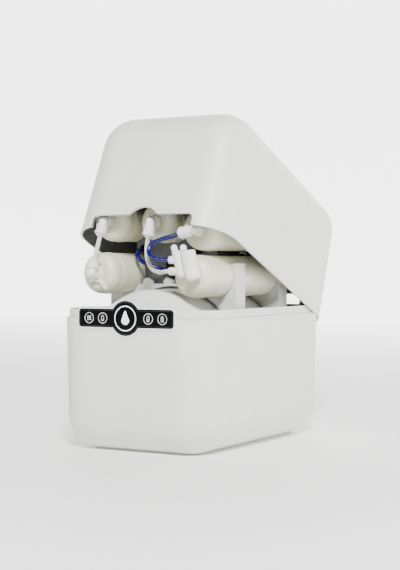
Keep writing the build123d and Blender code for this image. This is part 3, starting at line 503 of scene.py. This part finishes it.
class WATER_OT_display(bpy.types.Operator):
    """Finish the display and make its lit rings and icons"""

    bl_idname = "water.display"
    bl_label = "Display"

    def execute(self, context):
        paint(border_abs(), "display_frame")
        paint(black_acrylic(), "display_lens")
        paint(solder_mask(), "display_board")
        self.centre = middle("display_lens")
        self.front = low("display_lens").y
        self.lit = printed_light("lit_white_print", "#D9E2E4", 0.55)
        self.dim = printed_light("dim_white_print", "#9FA7A8", 0.12)
        self.dark = moulded_plastic("dark_screen_print", "#25272A", "#303337", 0.4, 1.0, 0.02, 0.2)
        self.outline()
        self.large_ring()
        self.drop()
        self.icons()
        return {"FINISHED"}

    def spot(self, x, z=0.0):
        """A place on the window's front, from its middle."""
        return Vector((self.centre.x + x, self.front - PRINT_THICKNESS / 2, self.centre.z + z))

    def bar(self, mesh, x, z, width, height):
        """A thin printed bar about a place on the window."""
        centre = self.spot(x, z) + Vector((0, PRINT_THICKNESS / 2, 0))
        size = Matrix.Diagonal((width, PRINT_THICKNESS, height, 1.0))
        bmesh.ops.create_cube(mesh, size=1.0, matrix=Matrix.Translation(centre) @ size)

    def outline(self):
        """The thin printed line just inside the window's edge."""
        mesh = bmesh.new()
        size = high("display_lens") - low("display_lens")
        half_bar = WINDOW_HALF_BAR - OUTLINE_INSET
        half_long = size.x / 2 - OUTLINE_INSET
        round_radius = size.z / 2 - OUTLINE_INSET
        meet = math.asin(half_bar / round_radius)
        reach = round_radius * math.cos(meet)
        length = half_long - OUTLINE_CORNER - reach
        corner_turns = {(1, 1): 0.0, (-1, 1): 0.5, (-1, -1): 1.0, (1, -1): 1.5}
        for side in (-1, 1):
            start = meet if side > 0 else math.pi + meet
            ring_strip(mesh, self.spot(0), round_radius, OUTLINE_WIDTH, start, math.pi - 2 * meet, 24)
            for end in (-1, 1):
                self.bar(mesh, end * (reach + length / 2), side * half_bar, length, OUTLINE_WIDTH)
                quarter = corner_turns[(end, side)] * math.pi
                place = self.spot(end * (half_long - OUTLINE_CORNER), side * (half_bar - OUTLINE_CORNER))
                ring_strip(mesh, place, OUTLINE_CORNER, OUTLINE_WIDTH, quarter, math.pi / 2, 8)
        for end in (-1, 1):
            self.bar(mesh, end * half_long, 0.0, OUTLINE_WIDTH, 2 * (half_bar - OUTLINE_CORNER))
        finish_print(mesh, "display_outline", self.dark)

    def large_ring(self):
        """The lit ring round the drop."""
        mesh = bmesh.new()
        ring_strip(mesh, self.spot(0), settings().ring_radius, RING_WIDTH, steps=72)
        finish_print(mesh, "display_light_ring", self.lit)

    def drop(self):
        """A plain water drop: a disc whose upper half is drawn up to a point."""
        mesh = bmesh.new()
        facing = Matrix.Translation(self.spot(0, -DROP_BELOW)) @ Matrix.Rotation(math.pi / 2, 4, "X")
        disc = bmesh.ops.create_circle(
            mesh, cap_ends=True, radius=DROP_RADIUS, segments=48, matrix=facing
        )
        middle_z = self.centre.z - DROP_BELOW
        for vert in disc["verts"]:
            rise = (vert.co.z - middle_z) / DROP_RADIUS
            if rise > 0:
                vert.co.z += DROP_RADIUS * rise ** 3 * DROP_STRETCH
                vert.co.x = self.centre.x + (vert.co.x - self.centre.x) * (1 - DROP_PINCH * rise)
        raised = bmesh.ops.extrude_face_region(mesh, geom=mesh.faces[:])
        moved = [item for item in raised["geom"] if isinstance(item, bmesh.types.BMVert)]
        bmesh.ops.translate(mesh, verts=moved, vec=(0, PRINT_THICKNESS, 0))
        finish_print(mesh, "display_drop", self.lit)

    def icons(self):
        """Four small rings, the first round a grid and the others round a cartridge."""
        for number, x in enumerate(ICON_PLACES):
            mesh = bmesh.new()
            ring_strip(mesh, self.spot(x), settings().icon_radius, ICON_RING_WIDTH, steps=40)
            if number == 0:
                self.grid_sign(mesh, x)
            else:
                self.cartridge_sign(mesh, x, number)
            finish_print(mesh, f"display_icon_{number + 1}", self.dim)

    def grid_sign(self, mesh, x):
        """Three rows of three small squares."""
        for row in (-1, 0, 1):
            for column in (-1, 0, 1):
                self.bar(mesh, x + column * GRID_STEP, row * GRID_STEP, GRID_SQUARE, GRID_SQUARE)

    def cartridge_sign(self, mesh, x, bands):
        """An upright cartridge in outline, with a cap and one band for each stage."""
        for side in (-1, 1):
            self.bar(mesh, x + side * SIGN_HALF_WIDTH, -SIGN_BELOW, SIGN_LINE, SIGN_LONG)
            self.bar(mesh, x, side * SIGN_HALF_HEIGHT - SIGN_BELOW, SIGN_WIDE, SIGN_LINE)
        for step in range(bands):
            self.bar(mesh, x, step * SIGN_BAND_STEP - SIGN_FIRST_BAND, *SIGN_BAND)
        self.bar(mesh, x, SIGN_CAP_HEIGHT, *SIGN_CAP)


class WATER_OT_tank(bpy.types.Operator):
    """Finish the tank, its valve and its saddles"""

    bl_idname = "water.tank"
    bl_label = "Tank"

    def execute(self, context):
        paint(tank_enamel(), "tank_shell")
        paint(butyl_rubber(), "tank_bladder", "air_valve", "tank_saddles", "dc_inlet")
        paint(lever_nylon(), "tank_valve_lever")
        return {"FINISHED"}


class WATER_OT_cartridges(bpy.types.Operator):
    """Finish the cartridges and their filter cores"""

    bl_idname = "water.cartridges"
    bl_label = "Cartridges"

    def execute(self, context):
        paint(cartridge_polypropylene(settings()), *[f"{name}_cartridge" for name in CARTRIDGES])
        paint(filter_medium(), *[f"{name}_core" for name in CARTRIDGES])
        return {"FINISHED"}


class WATER_OT_rack(bpy.types.Operator):
    """Finish the rack's ribs and tray"""

    bl_idname = "water.rack"
    bl_label = "Rack"

    def execute(self, context):
        for name in ("rack_front_rib", "rack_rear_rib"):
            # Each rib's upper web gets painted shade.
            paint(rib_polystyrene_with_painted_shade(name), name)
        paint(rack_polystyrene(), "rack_tray")
        return {"FINISHED"}


class WATER_OT_fittings(bpy.types.Operator):
    """Finish the elbows, collets, ports and valves"""

    bl_idname = "water.fittings"
    bl_label = "Fittings"

    def execute(self, context):
        elbows = [f"{name}_elbow" for name in FRONT_ELBOWS]
        collets = [f"{name}_collet" for name in FRONT_ELBOWS + PORTS]
        paint(fitting_acetal(), *elbows, *PORTS, *collets, *OTHER_FITTINGS)
        return {"FINISHED"}


class WATER_OT_tubes(bpy.types.Operator):
    """Finish the white and blue tubes"""

    bl_idname = "water.tubes"
    bl_label = "Tubes"

    def execute(self, context):
        paint(extruded_tube("white_polyethylene_tube", "#C6CCC0", "#D2D7CC"), *WHITE_TUBES)
        tubes = [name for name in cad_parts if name.endswith("_tube")]
        blue = extruded_tube("blue_polyethylene_tube", "#080446", settings().blue_colour)
        paint(blue, *[name for name in tubes if name not in WHITE_TUBES])
        return {"FINISHED"}


class WATER_OT_stage(bpy.types.Operator):
    """Make the floor, the lights and the camera"""

    bl_idname = "water.stage"
    bl_label = "Floor, Lights and Camera"

    def execute(self, context):
        self.floor()
        self.world()
        for softbox in SOFTBOXES:
            self.light(*softbox)
        self.camera()
        return {"FINISHED"}

    def floor(self):
        """A pale floor that curves up into a brighter wall far behind the unit."""
        mesh = bmesh.new()
        ends = [mesh.verts.new((x, FLOOR_FRONT, 0)) for x in (-FLOOR_HALF_WIDTH, FLOOR_HALF_WIDTH)]
        edge = self.pull(mesh, [mesh.edges.new(ends)], (0, BEND_START - FLOOR_FRONT, 0))
        bend = bmesh.ops.spin(
            mesh, geom=edge + list(edge[0].verts), cent=(0, BEND_START, BEND_RADIUS), axis=(1, 0, 0),
            angle=math.pi / 2, steps=16,
        )
        edge = [item for item in bend["geom_last"] if isinstance(item, bmesh.types.BMEdge)]
        self.pull(mesh, edge, (0, 0, WALL_HEIGHT))
        data = bpy.data.meshes.new("floor")
        mesh.to_mesh(data)
        mesh.free()
        data.shade_smooth()
        data.materials.append(self.floor_paint())
        floor = bpy.data.objects.new("floor", data)
        bpy.context.scene.collection.objects.link(floor)

    def floor_paint(self):
        """Pale paint that glows more towards the far wall, so that floor and wall run together."""
        material, tree, shader, coordinates = new_material("pale_painted_floor", 0.6)
        tree.links.new(mottle(tree, coordinates, 900, "#F6F6F5", "#FAFAF9"), shader.inputs["Base Color"])
        shader.inputs["Emission Color"].default_value = (1, 1, 1, 1)
        depth = add_node(tree, "ShaderNodeSeparateXYZ", {"Vector": coordinates}).outputs["Y"]
        glow = add_node(
            tree, "ShaderNodeMapRange", {"Value": depth},
            {"From Min": -0.5, "From Max": 5.5, "To Min": 0.1, "To Max": 3.4},
            interpolation_type="SMOOTHSTEP",
        )
        tree.links.new(glow.outputs["Result"], shader.inputs["Emission Strength"])
        return material

    def pull(self, mesh, edges, way):
        """Extrudes edges along a step and gives the new edges."""
        made = bmesh.ops.extrude_edge_only(mesh, edges=edges)["geom"]
        ends = [item for item in made if isinstance(item, bmesh.types.BMVert)]
        bmesh.ops.translate(mesh, verts=ends, vec=way)
        return [item for item in made if isinstance(item, bmesh.types.BMEdge)]

    def world(self):
        """Faint even white light from all round."""
        world = bpy.data.worlds.new("white_room")
        world.use_nodes = True
        background = world.node_tree.nodes["Background"]
        background.inputs["Color"].default_value = (1, 1, 1, 1)
        background.inputs["Strength"].default_value = WORLD_STRENGTH
        bpy.context.scene.world = world

    def light(self, name, place, size, power):
        """A square softbox that looks at the unit."""
        lamp = bpy.data.lights.new(name, "AREA")
        lamp.shape = "SQUARE"
        lamp.size = size
        lamp.energy = power
        holder = bpy.data.objects.new(name, lamp)
        holder.location = place
        holder.rotation_euler = (LIGHTS_AIM - Vector(place)).to_track_quat("-Z", "Y").to_euler()
        bpy.context.scene.collection.objects.link(holder)

    def camera(self):
        """The camera, to the right of the front and just above level."""
        choice = settings()
        lens = bpy.data.cameras.new("front_right_view")
        lens.lens = choice.lens
        lens.sensor_width = SENSOR_WIDTH
        holder = bpy.data.objects.new("front_right_view", lens)
        level = math.cos(choice.elevation)
        away = Vector((
            math.sin(choice.azimuth) * level,
            -math.cos(choice.azimuth) * level,
            math.sin(choice.elevation),
        ))
        holder.location = CAMERA_AIM + away * choice.distance
        holder.rotation_euler = (math.pi / 2 - choice.elevation, 0, choice.azimuth)
        bpy.context.scene.collection.objects.link(holder)
        bpy.context.scene.camera = holder


OPERATORS = (
    WATER_OT_case, WATER_OT_display, WATER_OT_tank, WATER_OT_cartridges, WATER_OT_rack, WATER_OT_fittings,
    WATER_OT_tubes, WATER_OT_stage,
)


class WATER_PT_panel(bpy.types.Panel):
    """Lists the pieces and their settings"""

    bl_idname = "WATER_PT_panel"
    bl_label = "Water Unit"
    bl_space_type = "VIEW_3D"
    bl_region_type = "UI"
    bl_category = "Water Unit"

    def draw(self, context):
        for operator in OPERATORS:
            self.layout.operator(operator.bl_idname)
        for name in WaterUnitSettings.__annotations__:
            self.layout.prop(context.scene.water_unit, name)


CLASSES = (WaterUnitSettings, *OPERATORS, WATER_PT_panel)


def register():
    for cls in CLASSES:
        bpy.utils.register_class(cls)
    bpy.types.Scene.water_unit = bpy.props.PointerProperty(type=WaterUnitSettings)


def unregister():
    del bpy.types.Scene.water_unit
    for cls in reversed(CLASSES):
        bpy.utils.unregister_class(cls)


def main():
    register()
    for operator in OPERATORS:
        group, name = operator.bl_idname.split(".")
        getattr(getattr(bpy.ops, group), name)()


if __name__ == "__main__":
    main()
